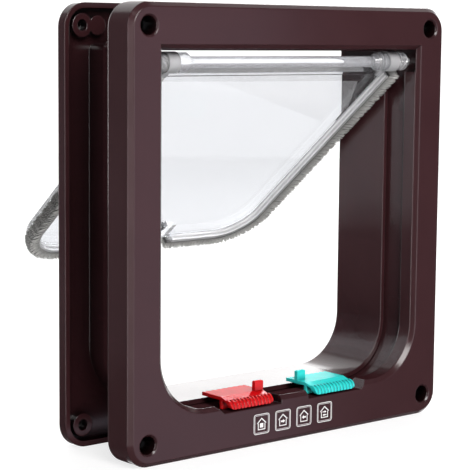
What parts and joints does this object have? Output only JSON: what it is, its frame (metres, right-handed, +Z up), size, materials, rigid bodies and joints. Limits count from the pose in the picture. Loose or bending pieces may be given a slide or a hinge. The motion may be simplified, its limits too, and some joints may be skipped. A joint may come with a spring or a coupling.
{
  "type": "cat flap",
  "caption": "Door-mounted cat flap: two telescoping moulded frames, a clear top-hinged flap edged with grey pile, and a pair of sliding locks in the sill.",
  "frame": {"origin": "centre of the four screw holes, on the face that lies against the door's inner side", "axes": "+X across the opening, +Y through the door from inside to outside, +Z up"},
  "size_m": [0.19, 0.1277, 0.2],
  "materials": {
    "frame_plastic": "dark brown moulded plastic with a fine satin texture",
    "clear_plastic": "clear moulded plastic, glossy",
    "pile": "grey tufted pile",
    "magnet": "dark ferrite",
    "red_plastic": "bright red moulded plastic",
    "green_plastic": "turquoise green moulded plastic",
    "white_plastic": "natural white plastic, slightly translucent"
  },
  "bodies": {
    "front": {"front_frame": "frame_plastic", "sill_magnet": "magnet", "magnet_plug": "frame_plastic"},
    "flap": {"flap_panel": "clear_plastic", "hinge_rod": "clear_plastic", "hinge_collar_left": "white_plastic", "hinge_collar_right": "white_plastic", "hinge_cap_left": "clear_plastic", "hinge_cap_right": "clear_plastic", "pile_strip_left": "pile", "pile_strip_right": "pile", "lock_insert": "clear_plastic", "flap_magnet": "magnet"},
    "red_lock": {"red_slider": "red_plastic"},
    "green_lock": {"green_slider": "green_plastic"},
    "back": {"back_frame": "frame_plastic"}
  },
  "joints": [
    {"name": "flap_hinge", "type": "hinge", "parent": "front", "child": "flap", "pos_m": [0, -0.006, 0.0743], "axis": [1, 0, 0], "range_deg": [-136, 34]},
    {"name": "red_slide", "type": "slide", "parent": "front", "child": "red_lock", "axis": [1, 0, 0], "range_m": [0, 0.0046]},
    {"name": "green_slide", "type": "slide", "parent": "front", "child": "green_lock", "axis": [-1, 0, 0], "range_m": [0, 0.0046]},
    {"name": "back_slide", "type": "slide", "parent": "front", "child": "back", "axis": [0, 1, 0], "range_m": [-0.009, 0.012]}
  ]
}
